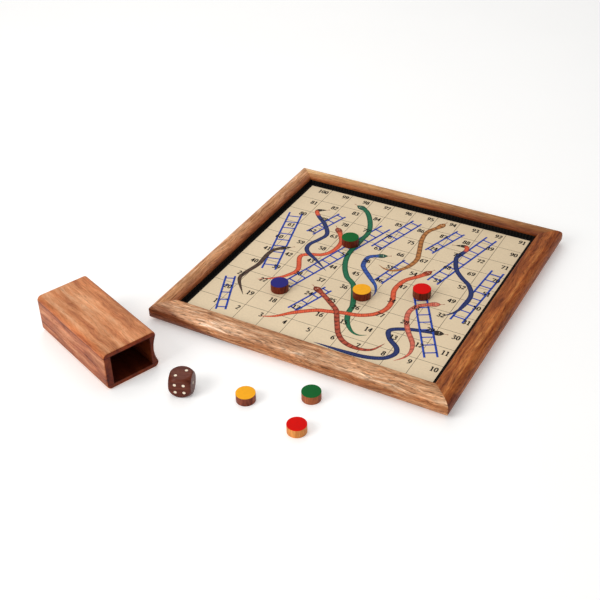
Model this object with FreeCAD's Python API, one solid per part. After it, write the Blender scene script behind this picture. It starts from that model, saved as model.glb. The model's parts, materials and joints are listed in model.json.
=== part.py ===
import FreeCAD, Part
import math
import os

# Reversible magnetic board game: a mitred wooden frame round a two-sided
# steel-cored panel, magnetic wooden tokens, one die and a rectangular dice cup.
# Millimetres, +Z up, the table at z = 0 and the origin under the middle of the
# set as it is laid out. +X runs along the front rail, +Y away from the player.

V = FreeCAD.Vector
UP = V(0, 0, 1)

# Frame
BOARD_SIDE = 254.0            # outer side of the square frame, 10 inch
RAIL_WIDTH = 18.0
RAIL_THICKNESS = 14.4
INNER_EDGE_RADIUS = 1.8       # eased edge next to the playing field
CORNER_RADIUS = 3.0           # sanded outer corner, seen from above
GROOVE_DEPTH = 4.5            # how far the panel is let into each rail
SPLINE_LENGTH = 10.0          # blind key across each mitre
SPLINE_WIDTH = 5.0
SPLINE_THICKNESS = 2.0
SPLINE_INSET = 8.0            # key's middle, from both outer edges

# Panel
CORE_THICKNESS = 1.0
STEEL_THICKNESS = 0.4
SHEET_THICKNESS = 0.3
SHEET_MARGIN = 4.0            # steel left bare between the printed sheet and the rails
SQUARES = 10                  # along one side of the printed sheet
EDGING_HEIGHT = 3.6           # black strip round the foot of the inner wall
EDGING_THICKNESS = 0.6

# Tokens
TOKEN_DIAMETER = 14.5
TOKEN_HEIGHT = 7.0
TOKEN_TOP = 0.3               # coloured disc on the wood
MAGNET_DIAMETER = 5.0
MAGNET_THICKNESS = 2.0
MAGNET_INSET = 0.2            # magnet's face stays above the token's foot

# Die
DIE_SIDE = 16.8
DIE_EDGE_CUT = 0.4            # what the ball takes off the middle of each edge
PIP_DIAMETER = 2.5
PIP_DEPTH = 0.6
PIP_SIDES = 10                # the small round pips are made with few faces
PIP_SPREAD = 3.25             # pip rows, from the middle of a face

# Dice cup, lying on one wide side
CUP_LENGTH = 96.2
CUP_WIDTH = 44.5
CUP_HEIGHT = 32.4
CUP_WIDE_WALL = 4.0           # upper and lower boards
CUP_NARROW_WALL = 5.6         # side boards, where they are thickest
CUP_COVE_DEPTH = 2.6          # finger hollow along the far side board
CUP_EDGE_RADIUS = 3.8         # long outer edges
CUP_RIM_RADIUS = 1.2          # rounded mouth
CUP_BASE_THICKNESS = 5.0

# Clearances
GROOVE_CLEARANCE = 0.15       # panel in its groove, each side
SPLINE_CLEARANCE = 0.1
MAGNET_CLEARANCE = 0.1
TOKEN_REST = 0.1              # token's foot above the printed sheet

# Layout: board from the origin, loose pieces from the middle of its front edge
BOARD_X = 32.7
BOARD_Y = 41.9
BOARD_TOKENS = {              # column and row, in squares from the front left corner
    "green": (3.62, 6.52),
    "blue": (2.66, 2.44),
    "yellow": (5.65, 3.46),
    "red": (7.64, 4.53),
}
LOOSE_TOKENS = {              # to the right, and in front of the board
    "spare_yellow": (-8.9, 46.2),
    "spare_green": (31.9, 23.2),
    "spare_red": (39.3, 57.9),
}
DIE_X = -54.7
DIE_AHEAD = 58.6
DIE_TURN = 20.0               # degrees about the vertical
CUP_MOUTH_X = -94.7
CUP_MOUTH_AHEAD = 63.1
CUP_TURN = -21.3              # degrees; the mouth looks right and to the player

# Sizes that follow
HALF_BOARD = BOARD_SIDE / 2
OPENING = BOARD_SIDE - 2 * RAIL_WIDTH
MIDDLE = RAIL_THICKNESS / 2
PANEL_THICKNESS = CORE_THICKNESS + 2 * STEEL_THICKNESS
STEEL_TOP = MIDDLE + PANEL_THICKNESS / 2
PLAY_FACE = STEEL_TOP + SHEET_THICKNESS
PANEL_SIDE = OPENING + 2 * (GROOVE_DEPTH - GROOVE_CLEARANCE)
SHEET_SIDE = OPENING - 2 * SHEET_MARGIN
SQUARE = SHEET_SIDE / SQUARES
FRONT_EDGE = BOARD_Y - HALF_BOARD
BOARD_CENTRE = V(BOARD_X, BOARD_Y, 0)
QUARTER_TURNS = {"front": 0, "right": 90, "back": 180, "left": 270}


def arc(start, through, end):
    """Edge of the circle through three points."""
    return Part.Arc(start, through, end).toShape()


def line(start, end):
    """Straight edge."""
    return Part.makeLine(start, end)


def face(edges):
    """Plane face inside edges that follow one another."""
    return Part.Face(Part.Wire(edges))


def polygon(points):
    """Plane face with straight sides."""
    return Part.Face(Part.makePolygon(points + points[:1]))


def box(size_x, size_y, size_z, centre):
    """Box round its centre."""
    corner = centre - V(size_x / 2, size_y / 2, size_z / 2)
    return Part.makeBox(size_x, size_y, size_z, corner)


def turned(shape, degrees, centre=V(0, 0, 0)):
    """Copy turned about the vertical."""
    copy = shape.copy()
    copy.rotate(centre, UP, degrees)
    return copy


def moved(shape, offset):
    """Copy moved without turning."""
    copy = shape.copy()
    copy.translate(offset)
    return copy


def save(name, *solids):
    """One file for a piece, or for a group of like pieces."""
    shape = solids[0] if len(solids) == 1 else Part.makeCompound(list(solids))
    shape.exportStep(os.path.join("parts", name + ".step"))


def rail_section():
    """Section of the front rail: round nose outside, grooved wall inside."""
    outer = -HALF_BOARD
    inner = outer + RAIL_WIDTH
    nose = outer + MIDDLE
    top = RAIL_THICKNESS
    ease = INNER_EDGE_RADIUS
    slant = ease * (1 - math.sqrt(0.5))
    groove_low = MIDDLE - PANEL_THICKNESS / 2 - GROOVE_CLEARANCE
    groove_high = MIDDLE + PANEL_THICKNESS / 2 + GROOVE_CLEARANCE
    groove_end = inner - GROOVE_DEPTH

    def at(y, z):
        return V(-HALF_BOARD, y, z)

    return face([
        arc(at(nose, 0), at(outer, MIDDLE), at(nose, top)),
        line(at(nose, top), at(inner - ease, top)),
        arc(at(inner - ease, top), at(inner - slant, top - slant), at(inner, top - ease)),
        line(at(inner, top - ease), at(inner, groove_high)),
        line(at(inner, groove_high), at(groove_end, groove_high)),
        line(at(groove_end, groove_high), at(groove_end, groove_low)),
        line(at(groove_end, groove_low), at(inner, groove_low)),
        line(at(inner, groove_low), at(inner, ease)),
        arc(at(inner, ease), at(inner - slant, slant), at(inner - ease, 0)),
        line(at(inner - ease, 0), at(nose, 0)),
    ])


def mitre_wedge():
    """Space of the front rail between its two 45 degree cuts."""
    apex = V(0, 0, 0)
    left = V(-HALF_BOARD, -HALF_BOARD, 0)
    right = V(HALF_BOARD, -HALF_BOARD, 0)
    return polygon([left, right, apex]).extrude(V(0, 0, RAIL_THICKNESS))


def rounded_block():
    """Block of the frame's outline with sanded corners."""
    block = box(BOARD_SIDE, BOARD_SIDE, RAIL_THICKNESS, V(0, 0, MIDDLE))
    uprights = [e for e in block.Edges if abs(e.Vertexes[0].Z - e.Vertexes[1].Z) > MIDDLE]
    return block.makeFillet(CORNER_RADIUS, uprights)


def spline(clearance):
    """Key across the front left mitre, or with a clearance the slot for it."""
    at = SPLINE_INSET - HALF_BOARD
    grow = 2 * clearance
    key = box(SPLINE_LENGTH + grow, SPLINE_WIDTH + grow, SPLINE_THICKNESS + grow, V(at, at, MIDDLE))
    return turned(key, -45, V(at, at, MIDDLE))


def frame_rails():
    """Four mitred rails, by name."""
    blank = rail_section().extrude(V(BOARD_SIDE, 0, 0))
    rail = blank.common(mitre_wedge()).common(rounded_block())
    slot = spline(SPLINE_CLEARANCE)
    rail = rail.cut(slot).cut(turned(slot, 90))
    return {name + "_rail": turned(rail, turn) for name, turn in QUARTER_TURNS.items()}


def corner_splines():
    """The four keys."""
    return [turned(spline(0), turn) for turn in QUARTER_TURNS.values()]


def panel_layer(side, thickness, bottom):
    """One flat square layer of the panel."""
    return box(side, side, thickness, V(0, 0, bottom + thickness / 2))


def panel_layers():
    """Core, a steel sheet on each side and a printed sheet on each steel."""
    core_low = MIDDLE - CORE_THICKNESS / 2
    core_high = MIDDLE + CORE_THICKNESS / 2
    steel_low = core_low - STEEL_THICKNESS
    return {
        "core_board": panel_layer(PANEL_SIDE, CORE_THICKNESS, core_low),
        "upper_steel_sheet": panel_layer(PANEL_SIDE, STEEL_THICKNESS, core_high),
        "lower_steel_sheet": panel_layer(PANEL_SIDE, STEEL_THICKNESS, steel_low),
        "snakes_sheet": panel_layer(SHEET_SIDE, SHEET_THICKNESS, STEEL_TOP),
        "ludo_sheet": panel_layer(SHEET_SIDE, SHEET_THICKNESS, steel_low - SHEET_THICKNESS),
    }


def edging_strips(bottom):
    """Four mitred strips that stand along the inner walls."""
    far = OPENING / 2
    near = far - EDGING_THICKNESS
    strip = polygon([
        V(-far, -far, bottom),
        V(far, -far, bottom),
        V(near, -near, bottom),
        V(-near, -near, bottom),
    ]).extrude(V(0, 0, EDGING_HEIGHT))
    return [turned(strip, turn) for turn in QUARTER_TURNS.values()]


def revolved(points):
    """Solid of revolution from (radius, height) points that start and end on the axis."""
    return polygon([V(r, 0, z) for r, z in points]).revolve(V(0, 0, 0), UP, 360)


def token_pieces():
    """Wooden disc drilled from below, its coloured top and the magnet in the hole."""
    radius = TOKEN_DIAMETER / 2
    magnet = MAGNET_DIAMETER / 2
    hole = magnet + MAGNET_CLEARANCE
    roof = MAGNET_INSET + MAGNET_THICKNESS
    wood_top = TOKEN_HEIGHT - TOKEN_TOP
    wood = revolved([
        (0, roof),
        (hole, roof),
        (hole, 0),
        (radius, 0),
        (radius, wood_top),
        (0, wood_top),
    ])
    return {
        "wood": wood,
        "top": Part.makeCylinder(radius, TOKEN_TOP, V(0, 0, wood_top)),
        "magnet": Part.makeCylinder(magnet, MAGNET_THICKNESS, V(0, 0, MAGNET_INSET)),
    }


def token_places():
    """Foot of every token, by name."""
    places = {}
    for name, (column, row) in BOARD_TOKENS.items():
        across = column * SQUARE - SHEET_SIDE / 2
        deep = row * SQUARE - SHEET_SIDE / 2
        places[name] = BOARD_CENTRE + V(across, deep, PLAY_FACE + TOKEN_REST)
    for name, (across, ahead) in LOOSE_TOKENS.items():
        places[name] = V(BOARD_X + across, FRONT_EDGE - ahead, 0)
    return places


def pip_spots(count):
    """Places of a face's pips, for the face that looks along +Z."""
    s = PIP_SPREAD
    spots = []
    if count % 2:
        spots += [(0, 0)]
    if count > 1:
        spots += [(-s, -s), (s, s)]
    if count > 3:
        spots += [(-s, s), (s, -s)]
    if count == 6:
        spots += [(-s, 0), (s, 0)]
    return spots


def die_faces():
    """Turn that brings the +Z face to each side, with that side's pip count."""
    return [
        (2, V(1, 0, 0), 0),      # up
        (5, V(1, 0, 0), 180),    # down
        (4, V(1, 0, 0), 90),     # front
        (3, V(1, 0, 0), -90),    # back
        (1, V(0, 1, 0), 90),     # right
        (6, V(0, 1, 0), -90),    # left
    ]


def pip_cutters():
    """All pips round the die's centre."""
    radius = PIP_DIAMETER / 2
    angles = [2 * math.pi * step / PIP_SIDES for step in range(PIP_SIDES)]
    cutters = []
    for count, axis, turn in die_faces():
        for x, y in pip_spots(count):
            foot = V(x, y, DIE_SIDE / 2 - PIP_DEPTH)
            rim = [foot + V(radius * math.cos(a), radius * math.sin(a), 0) for a in angles]
            cutter = polygon(rim).extrude(V(0, 0, PIP_DEPTH))
            cutter.rotate(V(0, 0, 0), axis, turn)
            cutters.append(cutter)
    return cutters


def die_body():
    """Cube rounded by a ball, so that its flats are round, with drilled pips."""
    ball = Part.makeSphere(DIE_SIDE / math.sqrt(2) - DIE_EDGE_CUT)
    cube = box(DIE_SIDE, DIE_SIDE, DIE_SIDE, V(0, 0, 0))
    return cube.common(ball).cut(Part.makeCompound(pip_cutters()))


def cup_outline(x):
    """Section of the cup: round corners, three flat sides and a coved far side."""
    half = CUP_WIDTH / 2
    corner = CUP_EDGE_RADIUS
    middle = CUP_HEIGHT / 2
    rise = middle - corner
    reach = (rise ** 2 + CUP_COVE_DEPTH ** 2) / (2 * CUP_COVE_DEPTH)
    swing = math.atan2(rise, reach - CUP_COVE_DEPTH)
    flat = half - corner

    def at(side, y, z):
        return V(x, side * y, z)

    def corner_points(side, upper, last):
        """Three points of a corner's arc, from the flat to its last angle above the level."""
        points = []
        for angle in (-math.pi / 2, (last - math.pi / 2) / 2, last):
            y = flat + corner * math.cos(angle)
            z = corner + corner * math.sin(angle)
            points.append(at(side, y, CUP_HEIGHT - z if upper else z))
        return points

    far_low = corner_points(1, False, swing)
    far_high = corner_points(1, True, swing)
    near_low = corner_points(-1, False, 0)
    near_high = corner_points(-1, True, 0)
    edges = [
        arc(*far_low),
        arc(far_low[2], at(1, half - CUP_COVE_DEPTH, middle), far_high[2]),
        arc(*far_high),
        arc(*near_low),
        line(near_low[2], near_high[2]),
        arc(*near_high),
        line(near_low[0], far_low[0]),
        line(near_high[0], far_high[0]),
    ]
    return face(Part.__sortEdges__(edges))


def cup_bore():
    """Size of the rectangular inside, across and up."""
    return CUP_WIDTH - 2 * CUP_NARROW_WALL, CUP_HEIGHT - 2 * CUP_WIDE_WALL


def cup_sleeve():
    """Open tube of the four glued boards, with a rounded mouth."""
    across, up = cup_bore()
    solid = cup_outline(-CUP_LENGTH).extrude(V(CUP_LENGTH, 0, 0))
    mouth = [edge for edge in solid.Edges if edge.BoundBox.XMin > -CUP_RIM_RADIUS]
    solid = solid.makeFillet(CUP_RIM_RADIUS, mouth)
    bore = box(CUP_LENGTH, across, up, V(-CUP_LENGTH / 2, 0, CUP_HEIGHT / 2))
    return solid.cut(bore)


def cup_pieces():
    """Four boards and the base, with the mouth at x = 0 and the axis along X."""
    across, up = cup_bore()
    sleeve = cup_sleeve()
    middle = V(-CUP_LENGTH / 2, 0, CUP_HEIGHT / 2)
    rise = (CUP_HEIGHT - CUP_WIDE_WALL) / 2
    shift = (CUP_WIDTH - CUP_NARROW_WALL) / 2
    wide = box(CUP_LENGTH, CUP_WIDTH, CUP_WIDE_WALL, middle)
    narrow = box(CUP_LENGTH, CUP_NARROW_WALL, up, middle)
    base_middle = V(CUP_BASE_THICKNESS / 2 - CUP_LENGTH, 0, CUP_HEIGHT / 2)
    return {
        "cup_upper_board": sleeve.common(moved(wide, V(0, 0, rise))),
        "cup_lower_board": sleeve.common(moved(wide, V(0, 0, -rise))),
        "cup_near_board": sleeve.common(moved(narrow, V(0, -shift, 0))),
        "cup_far_board": sleeve.common(moved(narrow, V(0, shift, 0))),
        "cup_base": box(CUP_BASE_THICKNESS, across, up, base_middle),
    }


def build_board():
    """Frame, panel and edging."""
    steel_low = MIDDLE - PANEL_THICKNESS / 2
    pieces = {**frame_rails(), **panel_layers()}
    for name, shape in pieces.items():
        save(name, moved(shape, BOARD_CENTRE))
    groups = {
        "corner_splines": corner_splines(),
        "upper_edging": edging_strips(STEEL_TOP),
        "lower_edging": edging_strips(steel_low - EDGING_HEIGHT),
    }
    for name, shapes in groups.items():
        save(name, *[moved(shape, BOARD_CENTRE) for shape in shapes])


def build_tokens():
    """Three pieces for each token."""
    pieces = token_pieces()
    for name, place in token_places().items():
        for piece, shape in pieces.items():
            save(name + "_token_" + piece, moved(shape, place))


def build_die():
    """Die on the table."""
    centre = V(BOARD_X + DIE_X, FRONT_EDGE - DIE_AHEAD, DIE_SIDE / 2)
    save("die", moved(turned(die_body(), DIE_TURN), centre))


def build_cup():
    """Cup lying on the table."""
    mouth = V(BOARD_X + CUP_MOUTH_X, FRONT_EDGE - CUP_MOUTH_AHEAD, 0)
    for name, shape in cup_pieces().items():
        save(name, moved(turned(shape, CUP_TURN), mouth))


def build():
    os.makedirs("parts", exist_ok=True)
    build_board()
    build_tokens()
    build_die()
    build_cup()


build()
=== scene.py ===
import json
import math

import bmesh
import bpy
from bpy.props import FloatProperty, FloatVectorProperty, IntProperty, PointerProperty
from mathutils import Euler, Matrix, Vector

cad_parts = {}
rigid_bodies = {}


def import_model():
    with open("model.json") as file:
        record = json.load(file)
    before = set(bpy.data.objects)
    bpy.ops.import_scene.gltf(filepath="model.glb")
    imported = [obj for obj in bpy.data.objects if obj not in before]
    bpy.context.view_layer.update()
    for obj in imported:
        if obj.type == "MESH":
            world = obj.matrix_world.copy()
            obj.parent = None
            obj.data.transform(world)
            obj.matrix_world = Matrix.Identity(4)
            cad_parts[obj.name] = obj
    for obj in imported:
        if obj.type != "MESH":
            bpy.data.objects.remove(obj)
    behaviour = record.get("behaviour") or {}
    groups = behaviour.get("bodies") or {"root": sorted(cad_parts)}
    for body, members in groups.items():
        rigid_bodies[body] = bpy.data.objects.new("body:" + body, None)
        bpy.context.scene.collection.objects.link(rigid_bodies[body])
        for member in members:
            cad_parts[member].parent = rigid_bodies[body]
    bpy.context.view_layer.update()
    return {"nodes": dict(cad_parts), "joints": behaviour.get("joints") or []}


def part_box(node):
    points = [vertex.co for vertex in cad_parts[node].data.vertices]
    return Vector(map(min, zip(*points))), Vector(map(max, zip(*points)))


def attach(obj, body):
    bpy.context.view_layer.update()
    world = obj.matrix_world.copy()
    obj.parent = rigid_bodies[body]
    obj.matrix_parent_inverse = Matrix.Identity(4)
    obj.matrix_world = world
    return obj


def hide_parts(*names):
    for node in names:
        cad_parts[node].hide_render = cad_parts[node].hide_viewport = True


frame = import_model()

bl_info = {
    "name": "Travel Board Game",
    "version": (1, 0, 0),
    "blender": (4, 5, 0),
    "location": "View3D > Sidebar > Board Game",
    "description": "Finishes a magnetic snakes and ladders set round its solids",
    "category": "Add Mesh",
}

MM = 0.001
UP = Vector((0, 0, 1))

# Names in the frame

TOKENS = ("green", "blue", "yellow", "red", "spare_yellow", "spare_green", "spare_red")

# The field's drawing, in squares from its front left corner

LADDERS = (  # foot, top, width
    ((1.32, 0.33), (0.50, 2.36), 0.36),
    ((1.57, 3.45), (0.48, 7.65), 0.54),
    ((2.72, 2.80), (4.38, 8.29), 0.44),
    ((3.68, 1.50), (4.30, 3.32), 0.34),
    ((1.75, 6.52), (2.33, 8.34), 0.36),
    ((4.66, 6.70), (5.38, 9.25), 0.42),
    ((6.67, 7.43), (7.30, 9.31), 0.36),
    ((7.64, 5.52), (8.58, 9.43), 0.46),
    ((9.40, 3.63), (9.64, 7.31), 0.48),
    ((5.78, 4.60), (6.25, 6.40), 0.36),
    ((9.42, 1.28), (7.62, 4.45), 0.46),
)
SNAKES = (  # the first lies lowest
    # head, neck and body inks, how banded it is, width, length of the nose in mm,
    # points from head to tail
    ("soot", "indigo", "indigo", 0.1, 0.20, 3, (
        (9.32, 2.72), (8.85, 2.61), (8.16, 2.43), (7.62, 2.18), (7.47, 1.95), (7.70, 1.57),
        (8.12, 1.22), (8.22, 0.88), (7.97, 0.49), (7.39, 0.26), (6.62, 0.18), (5.35, 0.17))),
    ("rust", "orange", "orange", 0.1, 0.20, 3, (
        (2.57, 7.38), (2.89, 7.03), (3.24, 6.45), (3.24, 5.76), (2.97, 5.30), (2.47, 5.07),
        (2.26, 4.76), (2.62, 3.95), (2.47, 3.45), (2.16, 3.07), (1.55, 2.65))),
    ("soot", "orange", "indigo", 0.1, 0.19, 9, (
        (1.55, 8.42), (1.22, 8.20), (1.47, 7.84), (2.00, 7.38), (2.43, 6.76), (2.35, 6.26),
        (2.16, 5.72), (2.32, 5.26), (2.97, 4.84), (3.64, 4.36))),
    ("moss", "green", "green", 0.1, 0.22, 4, (
        (2.53, 9.36), (3.08, 9.11), (3.55, 8.49), (3.89, 7.68), (3.89, 6.92), (3.89, 5.88),
        (4.12, 5.07), (4.55, 4.38), (5.05, 3.95), (5.58, 2.84), (5.66, 2.38), (5.85, 1.84),
        (6.24, 1.38), (6.58, 1.26), (6.87, 1.40))),
    ("soot", "umber", "umber", 0.5, 0.19, 8, (
        (1.62, 5.22), (1.12, 4.80), (1.01, 4.34), (1.05, 3.57), (0.89, 2.80), (0.93, 2.30),
        (1.58, 1.51))),
    ("moss", "blue", "blue", 0.6, 0.20, 4, (
        (5.37, 6.40), (4.93, 6.18), (4.70, 5.95), (4.74, 5.45), (4.93, 5.15), (5.39, 4.72),
        (5.82, 4.30), (6.00, 3.88), (6.00, 3.60))),
    ("tan", "tan", "tan", 0.8, 0.20, 3, (
        (6.45, 9.68), (6.32, 9.30), (6.05, 8.76), (6.08, 8.11), (6.35, 7.22), (6.49, 6.65),
        (6.35, 5.99), (6.00, 5.57), (5.62, 5.53), (5.30, 5.68))),
    ("rust", "orange", "orange", 0.25, 0.21, 4, (
        (7.35, 6.22), (7.08, 5.72), (6.70, 5.22), (6.58, 4.80), (6.58, 4.34), (6.78, 3.76),
        (6.82, 3.18), (6.58, 2.68), (6.08, 2.34), (5.47, 2.20), (4.93, 2.03), (4.51, 1.88),
        (3.85, 1.38), (3.35, 0.88), (2.82, 0.61))),
    ("rust", "brick", "brick", 0.9, 0.21, 3, (
        (3.74, 3.22), (4.32, 2.88), (4.82, 2.53), (5.20, 2.22), (5.55, 1.61), (5.93, 0.99),
        (6.35, 0.65), (6.89, 0.55), (7.39, 0.72), (7.66, 1.26))),
    ("coral", "coral", "coral", 0.5, 0.20, 3, (
        (8.51, 4.34), (8.16, 4.15), (7.78, 3.84), (7.64, 3.38), (7.78, 2.84), (8.08, 2.30),
        (8.51, 1.72), (8.66, 1.22), (8.58, 0.84), (8.33, 0.51))),
    ("soot", "orange", "indigo", 0.1, 0.19, 9, (
        (7.46, 8.34), (7.88, 8.42), (7.97, 8.12), (7.83, 7.68), (7.89, 7.30), (8.16, 6.72),
        (8.55, 6.30), (8.97, 5.95), (9.28, 5.38), (9.28, 4.60), (9.12, 4.07), (8.78, 3.65))),
)
INKS = {
    "black": "#17120D",
    "soot": "#33291F",
    "orange": "#D25838",
    "rust": "#8E3A22",
    "indigo": "#293464",
    "blue": "#36529A",
    "green": "#226646",
    "moss": "#2F5A48",
    "umber": "#4E3A30",
    "tan": "#AE703C",
    "brick": "#AA4A34",
    "coral": "#CF6A55",
    "cream": "#EADBBD",
    "home_red": "#C0281C",
    "home_green": "#1E7A3C",
    "home_yellow": "#E9A51C",
    "home_blue": "#2B3F9C",
}

# Numerals as pen strokes on a unit height: lines, smooth curves, and rings with centre and radii

NUMERALS = {
    0: (("ring", (0.28, 0.50), (0.20, 0.45)),),
    1: (("line", (0.30, 0.02), (0.30, 0.96)), ("line", (0.10, 0.80), (0.30, 0.95)),
        ("line", (0.10, 0.03), (0.50, 0.03))),
    2: (("curve", (0.08, 0.72), (0.26, 0.95), (0.45, 0.72), (0.30, 0.38), (0.06, 0.06)),
        ("line", (0.06, 0.06), (0.52, 0.06))),
    3: (("curve", (0.08, 0.82), (0.26, 0.95), (0.43, 0.75), (0.22, 0.53)),
        ("curve", (0.22, 0.53), (0.47, 0.29), (0.26, 0.04), (0.06, 0.16))),
    4: (("line", (0.38, 0.94), (0.05, 0.30)), ("line", (0.04, 0.29), (0.54, 0.29)),
        ("line", (0.38, 0.02), (0.38, 0.95))),
    5: (("line", (0.14, 0.92), (0.49, 0.92)), ("line", (0.12, 0.54), (0.15, 0.93)),
        ("curve", (0.11, 0.54), (0.30, 0.60), (0.47, 0.33), (0.28, 0.04), (0.06, 0.12))),
    6: (("curve", (0.47, 0.93), (0.24, 0.80), (0.10, 0.50), (0.09, 0.30)),
        ("ring", (0.28, 0.29), (0.19, 0.25))),
    7: (("line", (0.06, 0.90), (0.51, 0.90)), ("line", (0.22, 0.02), (0.48, 0.90)),
        ("line", (0.07, 0.74), (0.07, 0.92))),
    8: (("ring", (0.28, 0.73), (0.16, 0.21)), ("ring", (0.28, 0.27), (0.19, 0.24))),
    9: (("curve", (0.09, 0.06), (0.32, 0.20), (0.46, 0.50), (0.47, 0.70)),
        ("ring", (0.28, 0.70), (0.19, 0.25))),
}

# Numbers of the plain stamps, which follow the ten numerals
DISC, SQUARE, WEDGE, TONGUE = 10, 11, 12, 13


# Colours and nodes

# Sockets of a mix node that mixes colours: other kinds of mix have sockets of the same names
SHARE, COLOUR_A, COLOUR_B, MIXED = 0, 6, 7, 2


def linear(colour):
    """Linear RGBA of an sRGB hex colour."""
    parts = (int(colour[i:i + 2], 16) / 255 for i in (1, 3, 5))
    return (*(c / 12.92 if c <= 0.04045 else ((c + 0.055) / 1.055) ** 2.4 for c in parts), 1.0)


def feed(tree, node, links):
    """Gives inputs of a node a value, or what feeds them: a socket, a node or a list of these.

    A node feeds by its first output."""
    for key, value in links.items():
        for source in value if isinstance(value, list) else [value]:
            if isinstance(source, bpy.types.Node):
                source = source.outputs[0]
            if isinstance(source, bpy.types.NodeSocket):
                tree.links.new(source, node.inputs[key])
            else:
                node.inputs[key].default_value = source


def add(tree, kind, links=None, stops=(), **settings):
    """Adds one node with its settings, the stops of its ramp and what feeds it."""
    node = tree.nodes.new(kind)
    for name, value in settings.items():
        setattr(node, name, value)
    for index, (place, colour) in enumerate(stops):
        ramp = node.color_ramp.elements
        stop = ramp[index] if index < len(ramp) else ramp.new(place)
        stop.position = place
        stop.color = colour
    feed(tree, node, links or {})
    return node


def new_material(name, **surface):
    """Material with one principled shader: its tree, shader and the piece's coordinates."""
    material = bpy.data.materials.new(name)
    material.use_nodes = True
    tree = material.node_tree
    shader = tree.nodes["Principled BSDF"]
    feed(tree, shader, {key.replace("_", " "): value for key, value in surface.items()})
    return material, tree, shader, add(tree, "ShaderNodeTexCoord").outputs


def pitch(*millimetres):
    """Pattern scale along each axis, or one scale, from the size of the pattern in millimetres."""
    scales = tuple(1 / (size * MM) for size in millimetres)
    return scales if len(scales) > 1 else scales[0]


def tinted(tree, colour, tint, share):
    """Colour that turns to its product with a tint, by a share."""
    product = add(tree, "ShaderNodeVectorMath", {0: colour, 1: tint}, operation="MULTIPLY")
    return add(tree, "ShaderNodeMix", {SHARE: share, COLOUR_A: colour, COLOUR_B: product},
               data_type="RGBA").outputs[MIXED]


# Materials

def oiled_hardwood(name, tones, turn=(0, 0, 0), shift=0.0, streak=(40, 2.2), fleck=0.5,
                   polish=0.46, end_tint=(0.55, 0.45, 0.36), stains_and_shading=()):
    """Oiled open-pored hardwood, sawn along the grain and sanded.

    The eye sees soft streaks from the darker core wood to sapwood, many short dark pores and darker
    end grain.
    tones go from dark to pale, turn brings the grain to X, shift is the place in the plank, streak
    is a streak's length and width in millimetres, fleck is how strong fibres and pores are, polish
    is the roughness between pores, and the last argument holds the other marks that a piece has
    besides: changes of the wood's own tone, and painted highlights and painted shade."""
    material, tree, shader, at = new_material(name, Specular_IOR_Level=0.18)
    grain = add(tree, "ShaderNodeMapping", {
        "Vector": at["Object"], "Rotation": turn, "Location": (shift, 0.37 * shift, 0.61 * shift)})
    slow = add(tree, "ShaderNodeMapping", {"Vector": grain, "Scale": pitch(30, 14, 14)})
    waver = add(tree, "ShaderNodeTexNoise", {"Vector": slow, "Scale": 1.0, "Detail": 2.0})
    centred = add(tree, "ShaderNodeVectorMath", {0: waver.outputs["Color"], 1: (0.5, 0.5, 0.5)},
                  operation="SUBTRACT")
    swing = add(tree, "ShaderNodeVectorMath", {0: centred, 1: (0, 7 * MM, 7 * MM)},
                operation="MULTIPLY")
    bent = add(tree, "ShaderNodeVectorMath", {0: grain, 1: swing}, operation="ADD")

    def figure(length, width, detail, span, factors):
        """Noise drawn out along the grain: a span of it gives a span of factors."""
        drawn = add(tree, "ShaderNodeMapping", {
            "Vector": bent, "Scale": pitch(length, width, width)})
        noise = add(tree, "ShaderNodeTexNoise", {
            "Vector": drawn, "Scale": 1.0, "Detail": detail, "Roughness": 0.6})
        return add(tree, "ShaderNodeMapRange", {
            "Value": noise, "From Min": span[0], "From Max": span[1],
            "To Min": factors[0], "To Max": factors[1]})

    streaks = add(tree, "ShaderNodeValToRGB", {
        "Fac": figure(*streak, 5.0, (0.25, 0.75), (0.0, 1.0))},
        stops=zip((0.12, 0.40, 0.62, 0.90), map(linear, tones)))
    patch = figure(40, 14, 2.0, (0.35, 0.65), (0.86, 1.14))
    # Fibres and pores are drawn coarser than real ones, so that they show at arm's length
    pore_tone = 1 - 0.7 * fleck
    fibre = figure(8, 0.9, 3.0, (0.25, 0.75), (1 - 0.4 * fleck, 1 + 0.4 * fleck))
    pores = figure(4.5, 0.8, 1.0, (0.55, 0.72), (1.0, pore_tone))
    cracks = figure(15, 1.1, 1.0, (0.58, 0.74), (1.0, 1 - 0.8 * fleck))
    # The glints are painted highlights: pale flecks in the colour where polished wood would catch
    # the light
    glints = figure(10, 1.3, 2.0, (0.54, 0.74), (1.0, 1 + 0.7 * fleck))
    shade = patch
    for factor in (fibre, pores, cracks, glints):
        shade = add(tree, "ShaderNodeMath", {0: shade, 1: factor}, operation="MULTIPLY")
    colour = add(tree, "ShaderNodeVectorMath", {0: streaks, "Scale": shade}, operation="SCALE")
    facing = add(tree, "ShaderNodeMapping", {"Vector": at["Normal"], "Rotation": turn},
                 vector_type="VECTOR")
    along = add(tree, "ShaderNodeSeparateXYZ", {0: facing}).outputs["X"]
    squared = add(tree, "ShaderNodeMath", {0: along, 1: along}, operation="MULTIPLY")
    end = add(tree, "ShaderNodeMapRange", {"Value": squared, "From Min": 0.35, "From Max": 0.9})
    colour = tinted(tree, colour, end_tint, end)
    for stain in stains_and_shading:
        colour = stain(tree, at, colour)
    gloss = add(tree, "ShaderNodeMapRange", {
        "Value": pores, "From Min": pore_tone, "From Max": 1.0,
        "To Min": polish + 0.25, "To Max": polish})
    relief = add(tree, "ShaderNodeMath", {0: fibre, 1: pores}, operation="MULTIPLY")
    bump = add(tree, "ShaderNodeBump", {"Height": relief, "Strength": 0.4, "Distance": 0.15 * MM})
    feed(tree, shader, {"Base Color": colour, "Roughness": gloss, "Normal": bump})
    return material


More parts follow.
